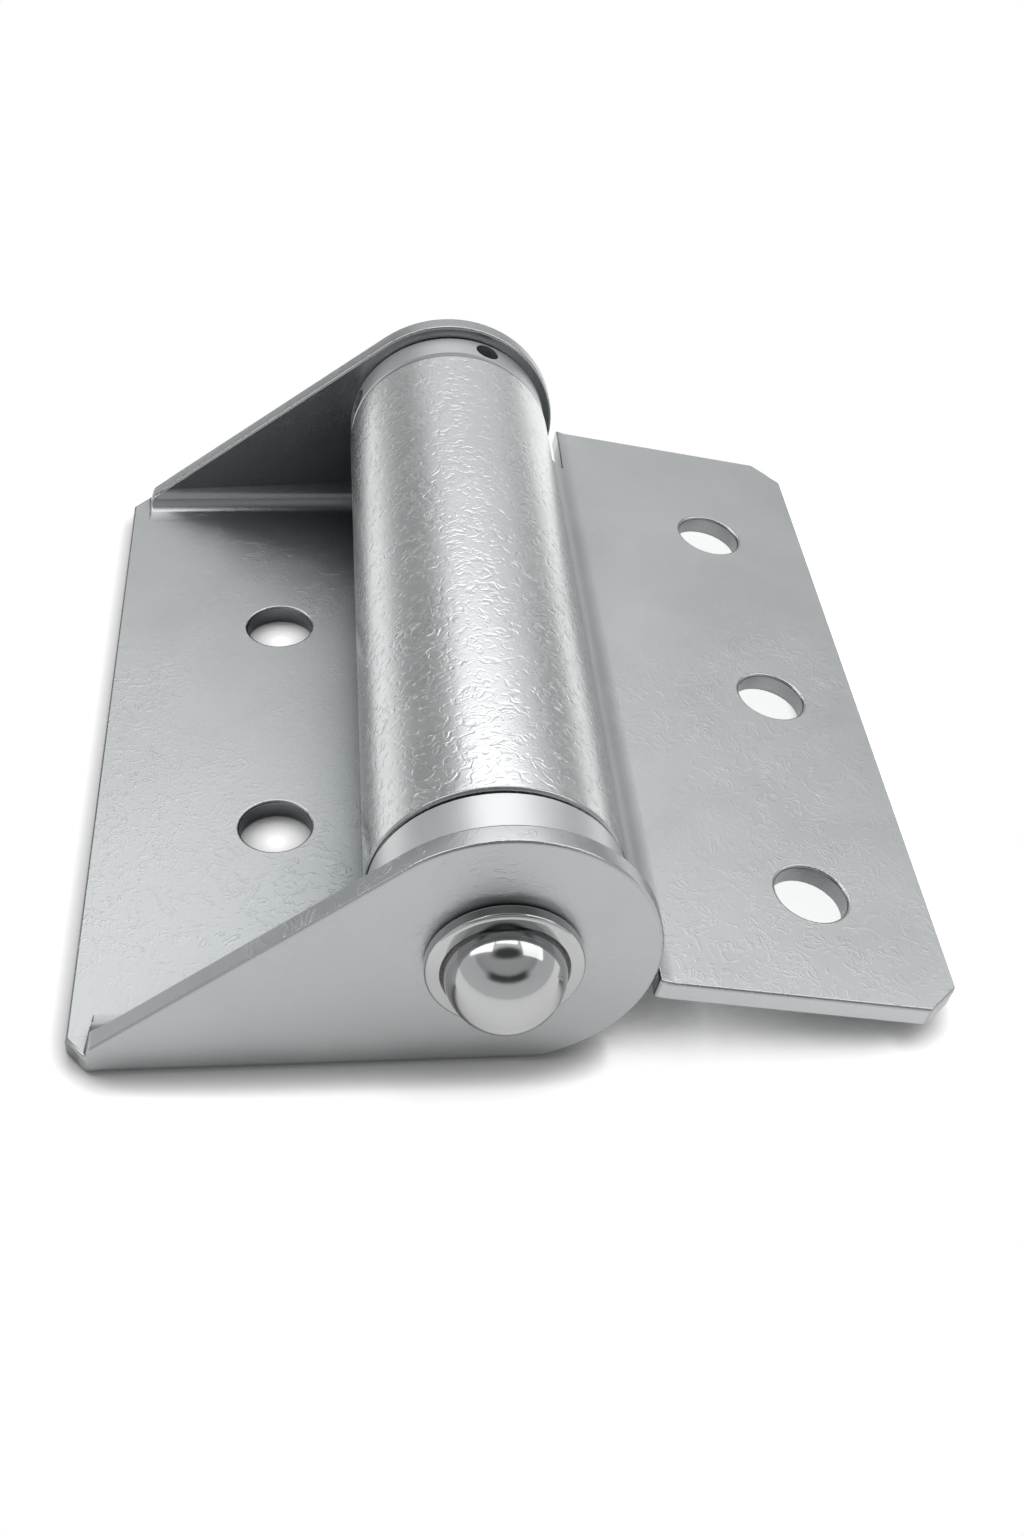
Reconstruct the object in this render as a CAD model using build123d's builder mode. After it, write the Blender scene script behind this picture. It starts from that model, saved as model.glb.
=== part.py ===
import os
from math import acos, asin, atan, atan2, cos, degrees, hypot, pi, radians, sin, tan

from build123d import *

os.makedirs("parts", exist_ok=True)

# Sheet and bracket
sheet = 3.2
length = 130.0
plate_left = -55.6
plate_right = -9.0
corner_cut = 3.0
corner_cut_back = 3.6
bend_inner = 3.5
bend_outer = 1.5

# Ears
ear_round = 20.0
rear_ear_round = ear_round - 1.6
axis_height = ear_round
ear_left = plate_left + corner_cut
ear_end_height = 4.6
ear_corner_round = 2.0

# Base plate holes
hole_radius = 5.25
plate_hole_x = -29.3
plate_hole_front = 42.5
plate_hole_pitch = 48.0

# Leaf and barrel
leaf_tilt = 11.0
leaf_middle = -3.0
leaf_outer = 63.0
leaf_overhang = 2.5
leaf_notch = ear_round + 0.7
leaf_corner_cut = 4.5
leaf_hole_line = 45.6
leaf_hole_stagger = 2.8
leaf_hole_front = 19.5
leaf_hole_pitch = 43.3
barrel_radius = 17.0
barrel_middle = barrel_radius - sheet / 2
barrel_bore = barrel_radius - sheet
neck_bend = 8.0
seam_angle = 348.0

# Spindle
spindle_radius = 6.0
spindle_tip = 5.0
tip_chamfer = 1.0
neck_half = 6.25
neck_round = 1.0
head_radius = 11.0
head_height = 3.6
head_rim = 0.9
running_fit = 0.05

# Rings and washers along the pin
washer_thickness = 0.5
washer_radius = 11.0
ring_radius = barrel_radius - 0.15
ring_front_width = 8.6
ring_rear_width = 5.8
joint_gap = 0.3
spigot_length = 10.0
hub_length = 13.0
hub_lip = 0.8
hub_lip_radius = 10.0
bush_wall = 1.5
rear_bush_length = 10.0
ring_chamfer = 0.5
press_fit = 0.02
sleeve_wall = 1.3
sleeve_gap = 0.5

# Spring
wire_radius = 1.75
coil_turns = 19
leg_bend = 3.0
leg_length = 6.0
leg_foot = 7.0
leg_clearance = 0.15

# Set screw and driving pin
screw_angle = 68.0
screw_radius = 2.0
screw_depth = 4.8
socket_width = 2.0
socket_depth = 2.0
bar_hole_radius = 2.0
bar_hole_depth = 5.0
drive_pin_radius = 2.0
drive_pin_angle = 285.0
drive_pin_seat = 9.0

# Dome cap and push nut
cap_radius = 10.0
cap_thickness = 2.2
cap_gap = 0.1
dome_radius = 7.7
dome_wall = 0.8
nut_radius = 9.2
nut_thickness = 0.8
nut_teeth = 8
nut_slot = 1.2
cap_lip = 0.4
cap_mouth = 8.2
cap_round = 0.6
cap_groove = 0.45

# Stations along the pin, from the front ear to the rear ear
front_inner = sheet
rear_inner = length - sheet
plug_front = front_inner + washer_thickness + running_fit
plug_shoulder = plug_front + ring_front_width
plug_end = plug_shoulder + spigot_length
drive_pin_station = plug_shoulder + spigot_length / 2
barrel_front = plug_shoulder + joint_gap
collar_rear = rear_inner - washer_thickness - running_fit
collar_shoulder = collar_rear - ring_rear_width
collar_end = collar_shoulder - hub_length
barrel_rear = collar_shoulder - running_fit - washer_thickness

# Radii that follow from the fits
pin_bore = spindle_radius + running_fit
bush_outer = pin_bore + bush_wall
spigot_radius = barrel_bore - press_fit
rear_bush_bore = spigot_radius - bush_wall
collar_spigot = rear_bush_bore - running_fit
sleeve_outer = pin_bore + sleeve_wall
coil_radius = sleeve_outer + sleeve_gap + wire_radius
leg_hole = wire_radius + leg_clearance
screw_length = ring_radius - pin_bore - screw_depth

# Place of the pin's front end, with the origin midway between the plate's holes
pin_x = -plate_hole_x
front_y = -plate_hole_front - plate_hole_pitch / 2
pin_axis = Axis((pin_x, front_y, axis_height), (0, 1, 0))
ground = Plane(origin=(pin_x, front_y, 0))
lengthwise = Plane(origin=(pin_x, front_y, axis_height))


# Section plane across the pin: x to the right, y up, normal towards the front
def across(station):
    return Plane(origin=(pin_x, front_y + station, axis_height), x_dir=(1, 0, 0), z_dir=(0, -1, 0))


# Same plane turned with the leaf about the pin
def across_leaf(station):
    along = (cos(radians(leaf_tilt)), 0, -sin(radians(leaf_tilt)))
    return Plane(origin=(pin_x, front_y + station, axis_height), x_dir=along, z_dir=(0, -1, 0))


# Plane whose normal points outwards from the pin at a station and angle
def radial(station, angle):
    outwards = (cos(radians(angle)), 0, sin(radians(angle)))
    return Plane(origin=(pin_x, front_y + station, axis_height), x_dir=(0, 1, 0), z_dir=outwards)


# Point at a radius and angle around a centre in the section plane
def around(centre, radius, angle):
    return (
        centre[0] + radius * cos(radians(angle)),
        centre[1] + radius * sin(radians(angle)),
    )


# Arc around a centre from one angle to another
def arc(centre, radius, start, end):
    ThreePointArc(
        around(centre, radius, start),
        around(centre, radius, (start + end) / 2),
        around(centre, radius, end),
    )


# Ring around the pin between two stations
def ring(outer, inner, start, end):
    with BuildSketch(across(start)) as outline:
        Circle(outer)
        Circle(inner, mode=Mode.SUBTRACT)
    extrude(outline.sketch, amount=start - end)


# Outline of an ear in the section plane: left end, slanted edge, round end and foot
def teardrop(round_radius):
    corner = (ear_left, ear_end_height - axis_height)
    reach = hypot(corner[0], corner[1])
    slant = degrees(atan2(corner[1], corner[0])) % 360 - degrees(acos(round_radius / reach))
    tip = (ear_left + ear_corner_round, corner[1] - ear_corner_round / tan(radians(slant / 2)))
    foot_reach = hypot(plate_right, axis_height)
    foot = degrees(atan2(-axis_height, plate_right)) + degrees(acos(round_radius / foot_reach))
    Line((ear_left, -axis_height), (ear_left, tip[1]))
    arc(tip, ear_corner_round, 180, slant)
    Line(around(tip, ear_corner_round, slant), around((0, 0), round_radius, slant))
    arc((0, 0), round_radius, slant, foot)
    Polyline(around((0, 0), round_radius, foot), (plate_right, -axis_height), (ear_left, -axis_height))


with BuildSketch() as front_ear:
    with BuildLine():
        teardrop(ear_round)
    make_face()

with BuildSketch() as rear_ear:
    with BuildLine():
        teardrop(rear_ear_round)
    make_face()


# Bracket: one sheet folded into a plate and two ears, cut back under the barrel
bend_line = sheet + bend_inner
with BuildPart() as bracket:
    with BuildSketch(Plane(ground.origin, x_dir=(0, 1, 0), z_dir=(1, 0, 0)).offset(plate_left)):
        with BuildLine():
            Line((bend_outer, 0), (length - bend_outer, 0))
            arc((length - bend_outer, bend_outer), bend_outer, 270, 360)
            Polyline(
                (length, bend_outer),
                (length, 2 * ear_round),
                (rear_inner, 2 * ear_round),
                (rear_inner, bend_line),
            )
            arc((length - bend_line, bend_line), bend_inner, 360, 270)
            Line((length - bend_line, sheet), (bend_line, sheet))
            arc((bend_line, bend_line), bend_inner, 270, 180)
            Polyline(
                (front_inner, bend_line),
                (front_inner, 2 * ear_round),
                (0, 2 * ear_round),
                (0, bend_outer),
            )
            arc((bend_outer, bend_outer), bend_outer, 180, 270)
        make_face()
    extrude(amount=ear_round - plate_left)
    with BuildSketch(across(0)):
        add(front_ear.sketch_local)
        with Locations((plate_left, -axis_height)):
            Rectangle(plate_right - plate_left, sheet, align=(Align.MIN, Align.MIN))
    extrude(amount=-length, mode=Mode.INTERSECT)
    with BuildSketch(across(rear_inner)):
        with Locations((ear_left, -axis_height)):
            Rectangle(ear_round - ear_left, 2 * ear_round, align=(Align.MIN, Align.MIN))
        add(rear_ear.sketch_local, mode=Mode.SUBTRACT)
    extrude(amount=-sheet, mode=Mode.SUBTRACT)
    with BuildSketch(ground):
        with Locations((plate_right, length / 2)):
            Rectangle(
                2 * ear_round,
                length - 2 * sheet,
                align=(Align.MIN, Align.CENTER),
            )
    extrude(amount=axis_height, mode=Mode.SUBTRACT)
    with BuildSketch(ground):
        for side in (1, -1):
            near = length / 2 - side * length / 2
            with BuildLine():
                Polyline(
                    (plate_left, near),
                    (plate_left, near + side * corner_cut_back),
                    (ear_left, near),
                    close=True,
                )
            make_face()
    extrude(amount=ear_round, mode=Mode.SUBTRACT)
    with BuildSketch(across(0)):
        Circle(pin_bore)
    extrude(amount=-sheet, mode=Mode.SUBTRACT)
    with BuildSketch(across(rear_inner)):
        Rectangle(2 * neck_half + 2 * running_fit, 2 * neck_half + 2 * running_fit)
    extrude(amount=-sheet, mode=Mode.SUBTRACT)
    with BuildSketch(ground):
        with Locations((plate_hole_x, plate_hole_front)):
            Circle(hole_radius)
        with Locations((plate_hole_x, plate_hole_front + plate_hole_pitch)):
            Circle(hole_radius)
    extrude(amount=sheet, mode=Mode.SUBTRACT)
bracket.part.label = "bracket"
export_step(bracket.part, "parts/bracket.step")


# Centre of the neck bend and the angle where the neck meets the barrel
neck_height = leaf_middle + neck_bend
neck_reach = barrel_middle + neck_bend
neck_angle = degrees(asin(neck_height / neck_reach))
neck_centre = around((0, 0), neck_reach, neck_angle)
neck_turn = 180 + neck_angle
half = sheet / 2

# Flat, neck and barrel rolled from one sheet, notched at both ends for the ears
leaf_length = length + leaf_overhang
with BuildPart() as rolled_sheet:
    with BuildSketch(across_leaf(0)):
        with BuildLine():
            Line((leaf_outer, leaf_middle + half), (neck_centre[0], leaf_middle + half))
            arc(neck_centre, neck_bend - half, 270, neck_turn)
            arc((0, 0), barrel_radius, neck_angle, seam_angle)
            Line(
                around((0, 0), barrel_radius, seam_angle),
                around((0, 0), barrel_bore, seam_angle),
            )
            arc((0, 0), barrel_bore, seam_angle, neck_angle)
            arc(neck_centre, neck_bend + half, neck_turn, 270)
            Line((neck_centre[0], leaf_middle - half), (leaf_outer, leaf_middle - half))
            Line((leaf_outer, leaf_middle - half), (leaf_outer, leaf_middle + half))
        make_face()
    extrude(amount=-leaf_length)
    for start, end in ((0, barrel_front), (barrel_rear, leaf_length)):
        with BuildSketch(across_leaf(start)):
            with Locations((leaf_notch, 0)):
                Rectangle(
                    2 * ear_round + leaf_notch,
                    2 * ear_round + 2 * sheet,
                    align=(Align.MAX, Align.CENTER),
                )
        extrude(amount=start - end, mode=Mode.SUBTRACT)
    upright = Axis((0, 0, 0), across_leaf(0).y_dir)
    outwards = Axis(pin_axis.position, across_leaf(0).x_dir)
    chamfer(edges().filter_by(upright).sort_by(outwards)[-2:], leaf_corner_cut)
    flat = Plane(
        origin=across_leaf(0).from_local_coords((0, leaf_middle, 0)),
        x_dir=across_leaf(0).x_dir,
        z_dir=across_leaf(0).y_dir,
    )
    with BuildSketch(flat):
        for step in range(3):
            along = leaf_hole_line + leaf_hole_stagger * (step % 2)
            with Locations((along, leaf_hole_front + step * leaf_hole_pitch)):
                Circle(hole_radius)
    extrude(amount=sheet, both=True, mode=Mode.SUBTRACT)
    with BuildSketch(radial(drive_pin_station, drive_pin_angle)):
        Circle(drive_pin_radius)
    extrude(amount=barrel_radius + sheet, mode=Mode.SUBTRACT)

# The sheet is cut along the notch line into its flat and its rolled part
notch_line = Plane(
    origin=across_leaf(0).from_local_coords((leaf_notch, 0, 0)),
    z_dir=across_leaf(0).x_dir,
)
with BuildPart() as leaf:
    add(rolled_sheet.part)
    split(bisect_by=notch_line, keep=Keep.TOP)
leaf.part.label = "leaf"
export_step(leaf.part, "parts/leaf.step")

with BuildPart() as barrel:
    add(rolled_sheet.part)
    split(bisect_by=notch_line, keep=Keep.BOTTOM)
barrel.part.label = "barrel"
export_step(barrel.part, "parts/barrel.step")


# Spindle: shaft, square neck in the rear ear and mushroom head
crown = head_height - head_rim
crown_radius = (head_radius**2 + crown**2) / (2 * crown)
crown_centre = (0, length + head_height - crown_radius)
crown_angle = degrees(acos(head_radius / crown_radius))
with BuildPart() as spindle:
    with BuildSketch(across(-spindle_tip)):
        Circle(spindle_radius)
    extrude(amount=-(spindle_tip + rear_inner))
    chamfer(edges().sort_by(Axis.Y)[0], tip_chamfer)
    with BuildSketch(across(rear_inner)):
        RectangleRounded(2 * neck_half, 2 * neck_half, neck_round)
    extrude(amount=-sheet)
    with BuildSketch(lengthwise):
        with BuildLine():
            Polyline(
                (0, length + head_height),
                (0, length),
                (head_radius, length),
                (head_radius, length + head_rim),
            )
            arc(crown_centre, crown_radius, crown_angle, 90)
        make_face()
    revolve(axis=pin_axis)
spindle.part.label = "spindle"
export_step(spindle.part, "parts/spindle.step")


# Push nut: thin washer with teeth that bite on the pin end
nut_rear = -cap_gap - cap_lip
with BuildPart() as push_nut:
    with BuildSketch(across(nut_rear)):
        Circle(nut_radius)
        Circle(spindle_radius + press_fit, mode=Mode.SUBTRACT)
        with PolarLocations((spindle_radius + nut_radius) / 2 - nut_slot, nut_teeth):
            Rectangle((nut_radius - spindle_radius) * 0.7, nut_slot, mode=Mode.SUBTRACT)
    extrude(amount=nut_thickness)
push_nut.part.label = "push_nut"
export_step(push_nut.part, "parts/push_nut.step")


# Dome cap: flange crimped round the push nut, hollow dome in front
cap_face = -cap_gap - cap_thickness
cap_room = nut_rear - nut_thickness
with BuildPart() as dome_cap:
    with BuildSketch(lengthwise):
        with BuildLine():
            Polyline(
                (cap_mouth, -cap_gap),
                (cap_radius - cap_round, -cap_gap),
            )
            arc((cap_radius - cap_round, -cap_gap - cap_round), cap_round, 90, 0)
            Line((cap_radius, -cap_gap - cap_round), (cap_radius, cap_face + cap_round))
            arc((cap_radius - cap_round, cap_face + cap_round), cap_round, 0, -90)
            Polyline(
                (cap_radius - cap_round, cap_face),
                (dome_radius + cap_groove, cap_face),
                (dome_radius, cap_face + cap_groove),
                (dome_radius, cap_face),
            )
            arc((0, cap_face), dome_radius, 0, -90)
            Line((0, cap_face - dome_radius), (0, cap_face - dome_radius + dome_wall))
            arc((0, cap_face), dome_radius - dome_wall, -90, 0)
            Polyline(
                (dome_radius - dome_wall, cap_face),
                (dome_radius - dome_wall, cap_room),
                (nut_radius + press_fit, cap_room),
                (nut_radius + press_fit, nut_rear),
                (cap_mouth, nut_rear),
                (cap_mouth, -cap_gap),
            )
        make_face()
    revolve(axis=pin_axis)
dome_cap.part.label = "dome_cap"
export_step(dome_cap.part, "parts/dome_cap.step")


# Thrust washers beside the ears and at the rear end of the barrel
with BuildPart() as front_thrust_washer:
    ring(washer_radius, pin_bore, front_inner, front_inner + washer_thickness)
front_thrust_washer.part.label = "front_thrust_washer"
export_step(front_thrust_washer.part, "parts/front_thrust_washer.step")

with BuildPart() as rear_thrust_washer:
    ring(washer_radius, pin_bore, rear_inner - washer_thickness, rear_inner)
rear_thrust_washer.part.label = "rear_thrust_washer"
export_step(rear_thrust_washer.part, "parts/rear_thrust_washer.step")

with BuildPart() as barrel_washer:
    ring(ring_radius, rear_bush_bore, barrel_rear, barrel_rear + washer_thickness)
barrel_washer.part.label = "barrel_washer"
export_step(barrel_washer.part, "parts/barrel_washer.step")


# Bearings and the sleeve that centres the coils
with BuildPart() as front_bush:
    ring(bush_outer, pin_bore, plug_front, plug_end)
front_bush.part.label = "front_bush"
export_step(front_bush.part, "parts/front_bush.step")

with BuildPart() as rear_bush:
    ring(spigot_radius, rear_bush_bore, barrel_rear - rear_bush_length, barrel_rear)
rear_bush.part.label = "rear_bush"
export_step(rear_bush.part, "parts/rear_bush.step")

with BuildPart() as spring_sleeve:
    ring(sleeve_outer, pin_bore, plug_end + joint_gap, collar_end - joint_gap)
spring_sleeve.part.label = "spring_sleeve"
export_step(spring_sleeve.part, "parts/spring_sleeve.step")


# Coil ends and the bends that turn the wire along the pin
coil_start = plug_end + leg_bend + wire_radius
coil_end = collar_end - leg_bend - wire_radius
coil_pitch = (coil_end - coil_start) / coil_turns
climb = degrees(atan(coil_pitch / (2 * pi * coil_radius)))
leg_reach = leg_bend - leg_bend * sin(radians(climb))
leg_drop = leg_bend * cos(radians(climb))

# Drive plug: near ring with a spigot pressed in the barrel
with BuildPart() as drive_plug:
    ring(ring_radius, bush_outer + press_fit, plug_front, plug_shoulder)
    chamfer(edges().filter_by(GeomType.CIRCLE).filter_by(lambda e: e.radius > barrel_bore), ring_chamfer)
    ring(spigot_radius, bush_outer + press_fit, plug_shoulder, plug_end)
    with BuildSketch(across(plug_end)):
        with Locations((coil_radius, leg_reach)):
            Circle(leg_hole)
    extrude(amount=leg_length + joint_gap, mode=Mode.SUBTRACT)
    with BuildSketch(radial(drive_pin_station, drive_pin_angle).offset(drive_pin_seat)):
        Circle(drive_pin_radius)
    extrude(amount=barrel_radius, mode=Mode.SUBTRACT)
drive_plug.part.label = "drive_plug"
export_step(drive_plug.part, "parts/drive_plug.step")

# Drive pin: dowel through barrel wall and spigot on the underside
with BuildPart() as drive_pin:
    with BuildSketch(radial(drive_pin_station, drive_pin_angle).offset(drive_pin_seat)):
        Circle(drive_pin_radius - press_fit)
    extrude(amount=barrel_radius - sheet / 4 - drive_pin_seat)
    chamfer(edges().filter_by(GeomType.CIRCLE), joint_gap)
drive_pin.part.label = "drive_pin"
export_step(drive_pin.part, "parts/drive_pin.step")

# Spring hub: inner piece behind the collar that holds the far end of the spring
with BuildPart() as spring_hub:
    ring(collar_spigot, pin_bore, collar_end, collar_shoulder)
    ring(hub_lip_radius, pin_bore, collar_shoulder, collar_shoulder + hub_lip)
    with BuildSketch(across(collar_end)):
        with Locations((coil_radius, -leg_reach)):
            Circle(leg_hole)
    extrude(amount=-(leg_length + joint_gap), mode=Mode.SUBTRACT)
spring_hub.part.label = "spring_hub"
export_step(spring_hub.part, "parts/spring_hub.step")

# Tension collar: far ring seated on the hub, with a tapped hole and bar holes
screw_station = (collar_shoulder + collar_rear) / 2
with BuildPart() as tension_collar:
    ring(ring_radius, pin_bore, collar_shoulder, collar_rear)
    chamfer(edges().filter_by(GeomType.CIRCLE).filter_by(lambda e: e.radius > barrel_bore), ring_chamfer)
    with BuildSketch(across(collar_shoulder)):
        Circle(hub_lip_radius + press_fit)
    extrude(amount=-hub_lip, mode=Mode.SUBTRACT)
    with BuildSketch(radial(screw_station, screw_angle)):
        Circle(screw_radius)
    extrude(amount=ring_radius, mode=Mode.SUBTRACT)
    for turn in (90, 180, 270):
        bar_plane = radial(screw_station, screw_angle + turn).offset(ring_radius - bar_hole_depth)
        with BuildSketch(bar_plane):
            Circle(bar_hole_radius)
        extrude(amount=bar_hole_depth, mode=Mode.SUBTRACT)
tension_collar.part.label = "tension_collar"
export_step(tension_collar.part, "parts/tension_collar.step")

# Set screw: its flat end faces the pin, hexagon socket outwards
with BuildPart() as set_screw:
    screw_foot = radial(screw_station, screw_angle).offset(pin_bore)
    with BuildSketch(screw_foot):
        Circle(screw_radius - press_fit)
    extrude(amount=screw_length)
    with BuildSketch(screw_foot.offset(screw_length)):
        RegularPolygon(socket_width / 2, 6, major_radius=False)
    extrude(amount=-socket_depth, mode=Mode.SUBTRACT)
set_screw.part.label = "set_screw"
export_step(set_screw.part, "parts/set_screw.step")

# Torsion spring: coils round the sleeve, a straight leg at each end
spring_frame = Plane(origin=(pin_x, front_y + coil_start, axis_height), x_dir=(1, 0, 0), z_dir=(0, 1, 0))
coil_height = coil_end - coil_start
half_turn = (90 - climb) / 2
with BuildLine() as wire_path:
    front_centre = (leg_bend * sin(radians(climb)), -leg_drop)
    front_bend = around(front_centre, leg_bend, 180 - half_turn)
    rear_centre = (-leg_bend * sin(radians(climb)), coil_height + leg_drop)
    rear_bend = around(rear_centre, leg_bend, -half_turn)
    Line(
        (coil_radius, -leg_reach, -leg_drop - leg_foot),
        (coil_radius, -leg_reach, -leg_drop),
    )
    ThreePointArc(
        (coil_radius, -leg_reach, -leg_drop),
        (coil_radius, front_bend[0], front_bend[1]),
        (coil_radius, 0, 0),
    )
    Helix(pitch=coil_pitch, height=coil_height, radius=coil_radius)
    ThreePointArc(
        (coil_radius, 0, coil_height),
        (coil_radius, rear_bend[0], rear_bend[1]),
        (coil_radius, leg_reach, coil_height + leg_drop),
    )
    Line(
        (coil_radius, leg_reach, coil_height + leg_drop),
        (coil_radius, leg_reach, coil_height + leg_drop + leg_foot),
    )
wire_run = wire_path.line.moved(spring_frame.location)
with BuildPart() as torsion_spring:
    with BuildSketch(Plane(origin=wire_run @ 0, z_dir=wire_run % 0)):
        Circle(wire_radius)
    sweep(path=wire_run)
torsion_spring.part.label = "torsion_spring"
export_step(torsion_spring.part, "parts/torsion_spring.step")
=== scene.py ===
from math import cos, pi, radians, sin

import bmesh
import bpy
from mathutils import Matrix, Vector


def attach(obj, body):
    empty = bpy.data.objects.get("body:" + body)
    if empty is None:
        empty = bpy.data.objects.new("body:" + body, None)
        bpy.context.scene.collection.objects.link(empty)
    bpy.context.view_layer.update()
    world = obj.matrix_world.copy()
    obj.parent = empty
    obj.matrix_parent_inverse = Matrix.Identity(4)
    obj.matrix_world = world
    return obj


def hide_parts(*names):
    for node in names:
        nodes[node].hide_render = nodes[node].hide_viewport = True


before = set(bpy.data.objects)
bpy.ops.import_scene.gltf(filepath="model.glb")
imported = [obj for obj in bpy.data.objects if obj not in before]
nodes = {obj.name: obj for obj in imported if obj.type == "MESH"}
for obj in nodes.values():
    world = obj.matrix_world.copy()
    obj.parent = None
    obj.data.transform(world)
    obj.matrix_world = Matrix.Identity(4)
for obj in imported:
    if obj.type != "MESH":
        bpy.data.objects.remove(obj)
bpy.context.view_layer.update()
scene = bpy.context.scene

# Hinge sizes that the looks follow, in metres
pin_side = 0.0293
pin_height = 0.020
barrel_radius = 0.017
middle_station = -0.0015
ear_inside = 0.0630
ear_outside = 0.0640
rim_width = 0.00045
rim_segments = 3

# Mending of the sheets' outlines: points closer than this become one
weld_gap = 0.000002
corner_merge = 0.0003
flat_angle = 0.4
rim_angles = (40.0, 150.0)

# Camera at the photograph's viewing angle
azimuth = radians(7.14)
elevation = radians(41.54)
roll = radians(3.64)
focal_pixels = 1804.5
image_height = 1536.0
sensor_size = 36.0
camera_place = Vector((0.01002, -0.21645, 0.18541))
forward = Vector((sin(azimuth) * cos(elevation), cos(azimuth) * cos(elevation), -sin(elevation)))
level_side = Vector((cos(azimuth), -sin(azimuth), 0.0))
upward = level_side.cross(forward)
right = level_side * cos(roll) + upward * sin(roll)
top = upward * cos(roll) - level_side * sin(roll)
camera_data = bpy.data.cameras.new("camera")
camera_data.sensor_width = sensor_size
camera_data.lens = focal_pixels * sensor_size / image_height
camera_data.clip_start = 0.01
camera = bpy.data.objects.new("camera", camera_data)
turn = Matrix((right, top, -forward)).transposed()
camera.matrix_world = Matrix.Translation(camera_place) @ turn.to_4x4()
scene.collection.objects.link(camera)
scene.camera = camera
scene.view_settings.view_transform = "Standard"

white = (1.0, 1.0, 1.0, 1.0)
degrees_per_radian = 57.2958


# Node helpers
def fresh(name):
    material = bpy.data.materials.new(name)
    material.use_nodes = True
    tree = material.node_tree
    return material, tree, tree.nodes["Principled BSDF"]


def add_node(tree, kind, **values):
    node = tree.nodes.new(kind)
    for key, value in values.items():
        if key.startswith("in_"):
            node.inputs[key[3:].replace("_", " ")].default_value = value
        else:
            setattr(node, key, value)
    return node


# A colour, a number or another node's output into a socket
def feed(tree, value, socket):
    if isinstance(value, tuple):
        socket.default_value = (*value, 1.0)
    elif isinstance(value, (int, float)):
        socket.default_value = value
    else:
        tree.links.new(value, socket)


def maths(tree, operation, first, second=None, clamp=False):
    node = add_node(tree, "ShaderNodeMath", operation=operation, use_clamp=clamp)
    feed(tree, first, node.inputs[0])
    if second is not None:
        feed(tree, second, node.inputs[1])
    return node.outputs[0]


def product(tree, first, *others):
    for other in others:
        first = maths(tree, "MULTIPLY", first, other)
    return first


def total(tree, first, *others):
    for other in others:
        first = maths(tree, "ADD", first, other)
    return first


# One less a weighted value
def rest_of(tree, value, weight=1.0):
    return maths(tree, "SUBTRACT", 1.0, maths(tree, "MULTIPLY", value, weight))


def length_of(tree, first, second):
    squares = total(tree, product(tree, first, first), product(tree, second, second))
    return maths(tree, "SQRT", squares)


def parts(tree, vector):
    node = tree.nodes.new("ShaderNodeSeparateXYZ")
    tree.links.new(vector, node.inputs[0])
    return node.outputs["X"], node.outputs["Y"], node.outputs["Z"]


def object_place(tree):
    return add_node(tree, "ShaderNodeTexCoord").outputs["Object"]


# 0 at the first place, 1 at the second, smooth between them
def smooth(tree, value, start, end):
    node = add_node(tree, "ShaderNodeMapRange", interpolation_type="SMOOTHSTEP",
                    in_From_Min=start, in_From_Max=end)
    tree.links.new(value, node.inputs["Value"])
    return node.outputs[0]


def mix_value(tree, factor, low, high):
    node = tree.nodes.new("ShaderNodeMapRange")
    feed(tree, factor, node.inputs["Value"])
    feed(tree, low, node.inputs["To Min"])
    feed(tree, high, node.inputs["To Max"])
    return node.outputs[0]


def mix_colour(tree, factor, first, second):
    node = add_node(tree, "ShaderNodeMix", data_type="RGBA")
    feed(tree, factor, node.inputs[0])
    feed(tree, first, node.inputs[6])
    feed(tree, second, node.inputs[7])
    return node.outputs[2]


def ramp(tree, factor, stops):
    node = tree.nodes.new("ShaderNodeValToRGB")
    elements = node.color_ramp.elements
    while len(elements) < len(stops):
        elements.new(0.5)
    for element, (place, colour) in zip(elements, stops):
        element.position = place
        grey = colour if isinstance(colour, tuple) else (colour, colour, colour)
        element.color = (*grey, 1.0)
    tree.links.new(factor, node.inputs[0])
    return node.outputs[0]


def noise(tree, where, scale, detail=2.0, distortion=0.0):
    node = add_node(tree, "ShaderNodeTexNoise", in_Scale=scale, in_Detail=detail,
                    in_Distortion=distortion, in_Roughness=0.5)
    tree.links.new(where, node.inputs["Vector"])
    return node.outputs["Fac"]


def bump(tree, height, strength, distance):
    node = add_node(tree, "ShaderNodeBump", in_Strength=strength, in_Distance=distance)
    tree.links.new(height, node.inputs["Height"])
    return node.outputs[0]


def openness(tree, samples, distance):
    node = add_node(tree, "ShaderNodeAmbientOcclusion", samples=samples, in_Distance=distance)
    return node.outputs["AO"]


def tinted(colour, factors):
    if isinstance(factors, float):
        factors = (factors, factors, factors)
    return tuple(part * factor for part, factor in zip(colour, factors))


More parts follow.
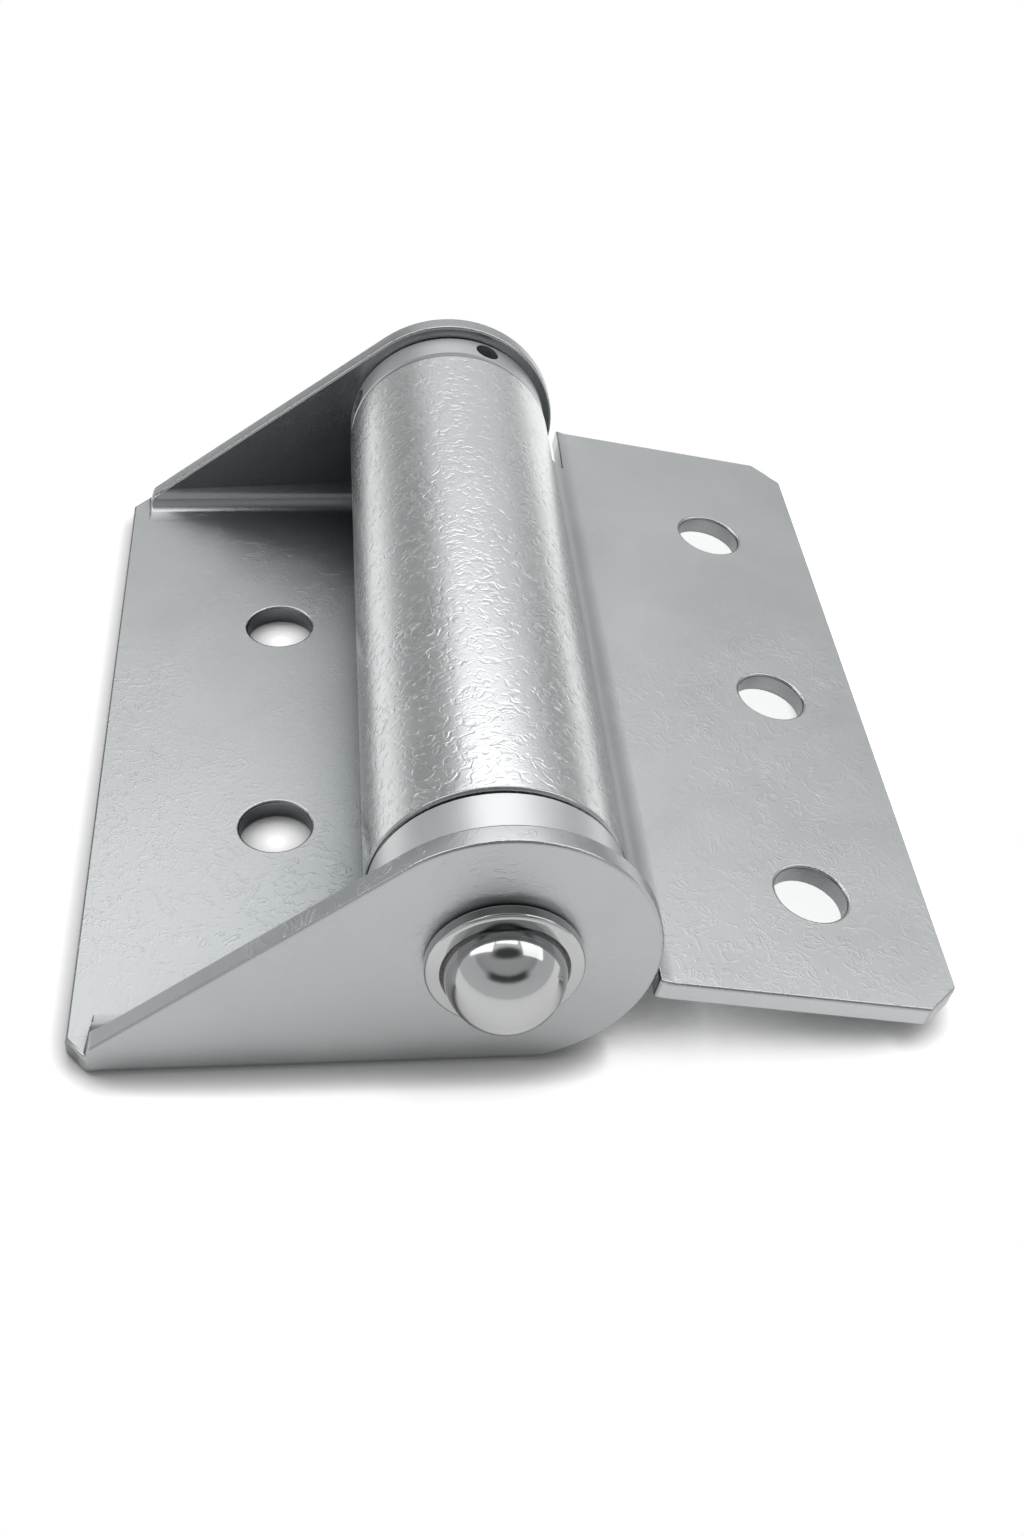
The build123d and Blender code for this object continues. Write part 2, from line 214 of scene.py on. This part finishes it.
# Zinc plating: satin sheet with faint curled marks, and painted shade deep between the ears, where its colour
# is darkened by occlusion, and wrinkled where the sheet was rolled, where a given rolled tone also lifts the
# colour as a painted highlight
def zinc(name, colour, rough, painted_shade_strength, rolled_painted_highlight=None):
    material, tree, shader = fresh(name)
    link = tree.links.new
    where = object_place(tree)
    x, y, z = parts(tree, where)
    if rolled_painted_highlight is None:
        rolled = add_node(tree, "ShaderNodeValue").outputs[0]
    else:
        span = length_of(tree, maths(tree, "SUBTRACT", x, pin_side), maths(tree, "SUBTRACT", z, pin_height))
        rolled = smooth(tree, span, barrel_radius + 0.0008, barrel_radius + 0.0001)
    cloud = noise(tree, where, 60.0, 4.0, 0.5)
    patches = noise(tree, where, 22.0, 3.0, 0.8)
    grain = noise(tree, where, 2400.0, 2.0, 0.2)
    wrinkle = noise(tree, where, 520.0, 1.5, 1.7)
    from_middle = maths(tree, "ABSOLUTE", maths(tree, "SUBTRACT", wrinkle, 0.5))
    ridge = maths(tree, "SUBTRACT", 1.0, product(tree, from_middle, 5.0), clamp=True)
    curls = ramp(tree, noise(tree, where, 260.0, 3.0, 2.8), ((0.54, 0.0), (0.60, 1.0), (0.66, 0.0)))
    marks = product(tree, curls, ramp(tree, patches, ((0.42, 0.15), (0.62, 1.0))))

    tone = ramp(tree, cloud, ((0.28, tinted(colour, 0.94)), (0.5, colour), (0.76, tinted(colour, 1.05))))
    tone = mix_colour(tree, mix_value(tree, patches, 0.0, 0.5), tone, tinted(colour, (0.95, 0.985, 1.0)))
    # Painted highlight: the rolled barrel's colour is made brighter so that it shows a brighter highlight
    if rolled_painted_highlight is not None:
        tone = mix_colour(tree, rolled, tone, tinted(colour, rolled_painted_highlight))
    # Painted shade: the colour is darkened towards dark teal grey where occlusion is high, deep between the
    # ears and less on the rolled barrel
    closed = maths(tree, "SUBTRACT", 0.88, openness(tree, 4, 0.04), clamp=True)
    station = maths(tree, "ABSOLUTE", maths(tree, "SUBTRACT", y, middle_station))
    painted_shade = product(tree, maths(tree, "MULTIPLY", closed, painted_shade_strength, clamp=True),
                   smooth(tree, station, ear_outside, ear_inside), rest_of(tree, rolled, 0.8))
    tone = mix_colour(tree, painted_shade, tone, tinted(colour, (0.16, 0.19, 0.20)))
    link(tone, shader.inputs["Base Color"])

    gloss = total(tree, mix_value(tree, cloud, rough - 0.05, rough + 0.06),
                  product(tree, rolled, -0.08), product(tree, marks, -0.05))
    link(gloss, shader.inputs["Roughness"])
    shader.inputs["Metallic"].default_value = 1.0
    height = total(tree, product(tree, wrinkle, mix_value(tree, rolled, 0.08, 0.75)),
                   product(tree, ridge, mix_value(tree, rolled, 0.0, 0.22)),
                   product(tree, marks, mix_value(tree, rolled, 0.16, 0.06)),
                   product(tree, grain, 0.025))
    link(bump(tree, height, 1.0, 0.0001), shader.inputs["Normal"])
    return material


# Turned or drawn metal with faint lines round the pin
def turned(name, colour, rough, lines=0.3):
    material, tree, shader = fresh(name)
    link = tree.links.new
    where = object_place(tree)
    stretch = add_node(tree, "ShaderNodeMapping", in_Scale=(60.0, 2400.0, 60.0))
    link(where, stretch.inputs["Vector"])
    tool_marks = noise(tree, stretch.outputs[0], 1.0)
    cloud = noise(tree, where, 70.0, 3.0, 0.5)
    grain = noise(tree, where, 2200.0)
    tone = ramp(tree, cloud, ((0.25, tinted(colour, 0.9)), (0.75, tinted(colour, 1.06))))
    link(tone, shader.inputs["Base Color"])
    gloss = total(tree, mix_value(tree, cloud, rough - 0.04, rough + 0.05), product(tree, grain, 0.05))
    link(gloss, shader.inputs["Roughness"])
    shader.inputs["Metallic"].default_value = 1.0
    height = total(tree, product(tree, tool_marks, lines), product(tree, grain, 0.2))
    link(bump(tree, height, 0.4, 0.00003), shader.inputs["Normal"])
    return material


def plastic(name, colour):
    material, tree, shader = fresh(name)
    link = tree.links.new
    where = object_place(tree)
    cloud = noise(tree, where, 120.0, 3.0)
    link(ramp(tree, cloud, ((0.3, tinted(colour, 0.94)), (0.7, colour))), shader.inputs["Base Color"])
    link(mix_value(tree, cloud, 0.42, 0.55), shader.inputs["Roughness"])
    link(bump(tree, noise(tree, where, 1500.0), 0.3, 0.00003), shader.inputs["Normal"])
    return material


# The fourth number sets the painted shade between the ears; the leaf's last number is the painted highlight
# lift of its rolled barrel
bracket_zinc = zinc("bracket_zinc", (0.395, 0.403, 0.406), 0.33, 1.45)
rim_zinc = zinc("rim_zinc", (0.35, 0.356, 0.358), 0.22, 0.8)
leaf_zinc = zinc("leaf_zinc", (0.455, 0.463, 0.466), 0.36, 0.6, 1.30)
pin_grey = (0.52, 0.525, 0.53)
ring_grey = (0.55, 0.555, 0.56)
washer_grey = (0.34, 0.35, 0.36)
nylon_cream = (0.74, 0.72, 0.66)
finishes = {
    "spindle": turned("spindle_zinc", pin_grey, 0.30),
    "spring_hub": turned("hub_zinc", pin_grey, 0.32),
    "drive_plug": turned("plug_zinc", ring_grey, 0.34, 0.5),
    "tension_collar": turned("collar_zinc", ring_grey, 0.34, 0.5),
    "dome_cap": turned("cap_polish", (0.41, 0.412, 0.415), 0.06, 0.05),
    "push_nut": turned("nut_steel", (0.22, 0.22, 0.23), 0.35),
    "front_thrust_washer": turned("front_washer_steel", washer_grey, 0.34),
    "rear_thrust_washer": turned("rear_washer_steel", washer_grey, 0.34),
    "barrel_washer": turned("barrel_washer_steel", washer_grey, 0.34),
    "torsion_spring": turned("wire_steel", (0.12, 0.12, 0.13), 0.30, 0.1),
    "drive_pin": turned("pin_steel", (0.10, 0.10, 0.11), 0.32),
    "set_screw": turned("screw_steel", (0.07, 0.07, 0.075), 0.36),
    "spring_sleeve": plastic("sleeve_nylon", nylon_cream),
    "front_bush": plastic("front_bush_nylon", nylon_cream),
    "rear_bush": plastic("rear_bush_nylon", nylon_cream),
}
for name, material in finishes.items():
    for entry in nodes[name].material_slots:
        entry.material = material


# Copies of the named nodes' solids, joined into one mesh
def joined_solids(sources):
    copies = []
    for node in sources:
        copy = bpy.data.objects.new(node + "_copy", nodes[node].data.copy())
        scene.collection.objects.link(copy)
        copies.append(copy)
    for copy in copies[1:]:
        join = copies[0].modifiers.new("join", "BOOLEAN")
        join.operation = "UNION"
        join.solver = "EXACT"
        join.object = copy
    evaluated = copies[0].evaluated_get(bpy.context.evaluated_depsgraph_get())
    shape = bmesh.new()
    shape.from_mesh(evaluated.data)
    for copy in copies:
        bpy.data.objects.remove(copy)
    return shape


# Sheet piece with rounded rims in place of its plain solids
def rounded_sheet(name, sources, body, material):
    shape = joined_solids(sources)
    bmesh.ops.remove_doubles(shape, verts=shape.verts, dist=weld_gap)
    bmesh.ops.dissolve_limit(shape, angle_limit=radians(flat_angle), verts=shape.verts,
                             edges=shape.edges, delimit=set())
    bmesh.ops.remove_doubles(shape, verts=shape.verts, dist=corner_merge)
    bmesh.ops.dissolve_degenerate(shape, dist=corner_merge * 0.3, edges=shape.edges)
    weight = shape.edges.layers.float.new("bevel_weight_edge")
    flattest, sharpest = (radians(angle) for angle in rim_angles)
    for edge in shape.edges:
        if flattest < edge.calc_face_angle(0.0) < sharpest:
            edge[weight] = 1.0
    mesh = bpy.data.meshes.new(name)
    shape.to_mesh(mesh)
    shape.free()
    for polygon in mesh.polygons:
        polygon.use_smooth = True
    mesh.materials.clear()
    mesh.materials.append(material)
    mesh.materials.append(rim_zinc)
    piece = bpy.data.objects.new(name, mesh)
    scene.collection.objects.link(piece)
    rims = piece.modifiers.new("rims", "BEVEL")
    rims.limit_method = "WEIGHT"
    rims.width = rim_width
    rims.segments = rim_segments
    rims.material = 1
    rims.use_clamp_overlap = False
    flats = piece.modifiers.new("flats", "WEIGHTED_NORMAL")
    flats.mode = "FACE_AREA"
    flats.weight = 100
    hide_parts(*sources)
    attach(piece, body)
    return piece


rounded_sheet("bracket_sheet", ["bracket"], "base", bracket_zinc)
rounded_sheet("leaf_sheet", ["leaf", "barrel"], "leaf", leaf_zinc)

# Floor: pale and matt, white to the camera and to the metal, shaded close to the hinge
floor_reach = 6.0
floor_drop = 0.00005
camera_glow = 0.80
mirror_glow = 0.64
floor_mesh = bpy.data.meshes.new("floor")
floor_corners = [(x * floor_reach, y * floor_reach, 0) for x, y in ((-1, -1), (1, -1), (1, 1), (-1, 1))]
floor_mesh.from_pydata(floor_corners, [], [(0, 1, 2, 3)])
floor = bpy.data.objects.new("floor", floor_mesh)
floor.location.z = -floor_drop
scene.collection.objects.link(floor)
floor_material, tree, shader = fresh("floor_paper")
shader.inputs["Base Color"].default_value = (0.92, 0.92, 0.92, 1.0)
shader.inputs["Roughness"].default_value = 0.9
shader.inputs["Specular IOR Level"].default_value = 0.0
rays = add_node(tree, "ShaderNodeLightPath").outputs
mirrored = maths(tree, "MAXIMUM", rays["Is Glossy Ray"], rays["Is Transmission Ray"])
glow = total(tree, product(tree, rays["Is Camera Ray"], camera_glow), product(tree, mirrored, mirror_glow))

# Contact shade within 5 mm of the hinge, and within 18 mm in front of it
contact = maths(tree, "POWER", openness(tree, 8, 0.005), 4.1)
nearby = maths(tree, "DIVIDE", maths(tree, "SUBTRACT", openness(tree, 12, 0.018), 0.358), 0.252, clamp=True)
floor_x, floor_y, floor_z = parts(tree, object_place(tree))
front_start, front_full = -0.046, -0.055
nearby = mix_value(tree, smooth(tree, floor_y, front_start, front_full), 1.0, nearby)


def glow_of(strength):
    node = add_node(tree, "ShaderNodeEmission", in_Color=white)
    tree.links.new(strength, node.inputs["Strength"])
    return node.outputs[0]


def choose(factor, first, second):
    node = tree.nodes.new("ShaderNodeMixShader")
    for socket, value in zip(node.inputs, (factor, first, second)):
        tree.links.new(value, socket)
    return node.outputs[0]


# Beyond the hinge's reach the shade is left out, since nothing is near enough to give any
reach_middle = (0.029, -0.011)
reach_half = (0.082, 0.085)
within = [maths(tree, "LESS_THAN", maths(tree, "ABSOLUTE", maths(tree, "SUBTRACT", value, middle)), half)
          for value, middle, half in zip((floor_x, floor_y), reach_middle, reach_half)]
in_front = maths(tree, "LESS_THAN", floor_y, front_start)
shaded = choose(in_front, glow_of(product(tree, glow, contact)), glow_of(product(tree, glow, contact, nearby)))
inside = product(tree, *within)
light = choose(inside, glow_of(glow), shaded)
paper = tree.nodes.new("ShaderNodeAddShader")
tree.links.new(shader.outputs[0], paper.inputs[0])
tree.links.new(light, paper.inputs[1])

# There the camera sees plain white, as the lamps light the paper past white anyway
backdrop_seen = maths(tree, "MINIMUM", rays["Is Camera Ray"], maths(tree, "SUBTRACT", 1.0, inside))
white_paper = add_node(tree, "ShaderNodeEmission", in_Color=white, in_Strength=1.0)
surface = choose(backdrop_seen, paper.outputs[0], white_paper.outputs[0])
tree.links.new(surface, tree.nodes["Material Output"].inputs["Surface"])
floor_mesh.materials.append(floor_material)

# World: white paper to the camera, and to the metal a room that is darker behind the camera
diffuse_strength = 0.26
mirror_tint = (0.985, 0.995, 1.0, 1.0)
world = bpy.data.worlds.new("studio")
scene.world = world
world.use_nodes = True
tree = world.node_tree
tree.nodes.clear()
direction = add_node(tree, "ShaderNodeTexCoord").outputs["Generated"]
east, north, up = parts(tree, direction)
height = product(tree, maths(tree, "ARCSINE", up), degrees_per_radian)
bearing = maths(tree, "ARCTAN2", east, product(tree, north, -1.0))
bearing = product(tree, maths(tree, "ABSOLUTE", bearing), degrees_per_radian)


# Direction of a bearing from +Y towards +X and a height, in degrees
def heading_of(bearing, height):
    bearing, height = radians(bearing), radians(height)
    return Vector((sin(bearing) * cos(height), cos(bearing) * cos(height), sin(height)))


# 0 before an angle in degrees, 1 after it
def step(value, middle, soft):
    return smooth(tree, value, middle - soft, middle + soft)


# Part of the room between two heights, up to a bearing either side of -Y
def patch(weight, low, high, width, soft):
    inside = maths(tree, "SUBTRACT", step(height, low, soft), step(height, high, soft))
    return product(tree, inside, rest_of(tree, step(bearing, width, 12.0)), weight)


# Darker round part of the room, at a bearing from +Y towards +X
def dark_spot(bearing, height, radius, soft, weight):
    dot = add_node(tree, "ShaderNodeVectorMath", operation="DOT_PRODUCT")
    dot.inputs[1].default_value = heading_of(bearing, height)
    tree.links.new(direction, dot.inputs[0])
    angle = product(tree, maths(tree, "ARCCOSINE", dot.outputs["Value"]), degrees_per_radian)
    return rest_of(tree, rest_of(tree, step(angle, radius, soft)), weight)


room = total(tree, product(tree, step(height, 42.0, 16.0), 0.20), 0.80, patch(0.06, -40.0, 13.0, 120.0, 14.0))
room = product(tree, room, rest_of(tree, patch(0.42, 34.0, 110.0, 100.0, 4.0)),
               rest_of(tree, patch(0.85, 28.0, 42.0, 46.0, 4.0)))
# Dark oval overhead
from_zenith = length_of(tree, maths(tree, "DIVIDE", east, 0.42),
                        maths(tree, "DIVIDE", maths(tree, "ADD", north, 0.10), 0.20))
zenith = product(tree, rest_of(tree, step(from_zenith, 1.0, 0.35)), step(height, 40.0, 10.0))
room = product(tree, room, rest_of(tree, zenith, 0.85),
               dark_spot(-37.0, 22.0, 17.0, 9.0, 0.62), dark_spot(46.0, 11.0, 14.0, 9.0, 0.55))

backdrop = add_node(tree, "ShaderNodeBackground", in_Color=white, in_Strength=1.0)
mirror = add_node(tree, "ShaderNodeBackground", in_Color=mirror_tint)
tree.links.new(room, mirror.inputs["Strength"])
soft = add_node(tree, "ShaderNodeBackground", in_Color=white, in_Strength=diffuse_strength)
rays = add_node(tree, "ShaderNodeLightPath").outputs
glossy = maths(tree, "MAXIMUM", rays["Is Glossy Ray"], rays["Is Transmission Ray"])
shown = soft.outputs[0]
for factor, background in ((glossy, mirror), (rays["Is Camera Ray"], backdrop)):
    mix = tree.nodes.new("ShaderNodeMixShader")
    tree.links.new(factor, mix.inputs[0])
    tree.links.new(shown, mix.inputs[1])
    tree.links.new(background.outputs[0], mix.inputs[2])
    shown = mix.outputs[0]
tree.links.new(shown, tree.nodes.new("ShaderNodeOutputWorld").inputs["Surface"])


# Soft box aimed at the hinge: bearing from +Y towards +X, height, size and brightness
def softbox(name, bearing, height, size, brightness):
    distance = 1.0
    data = bpy.data.lights.new(name, "AREA")
    data.shape = "RECTANGLE"
    data.size, data.size_y = size
    data.energy = brightness * pi * size[0] * size[1]
    lamp = bpy.data.objects.new(name, data)
    heading = heading_of(bearing, height)
    lamp.location = Vector((pin_side, 0.0, pin_height)) + heading * distance
    lamp.rotation_euler = (-heading).to_track_quat("-Z", "Y").to_euler()
    scene.collection.objects.link(lamp)


softbox("rear_softbox", 8.0, 50.0, (0.80, 0.24), 1.7)
softbox("top_softbox", 6.0, 71.0, (0.62, 0.36), 2.2)
softbox("left_softbox", -68.0, 47.0, (0.46, 0.76), 1.7)
softbox("right_softbox", 78.0, 45.0, (0.62, 0.70), 1.6)
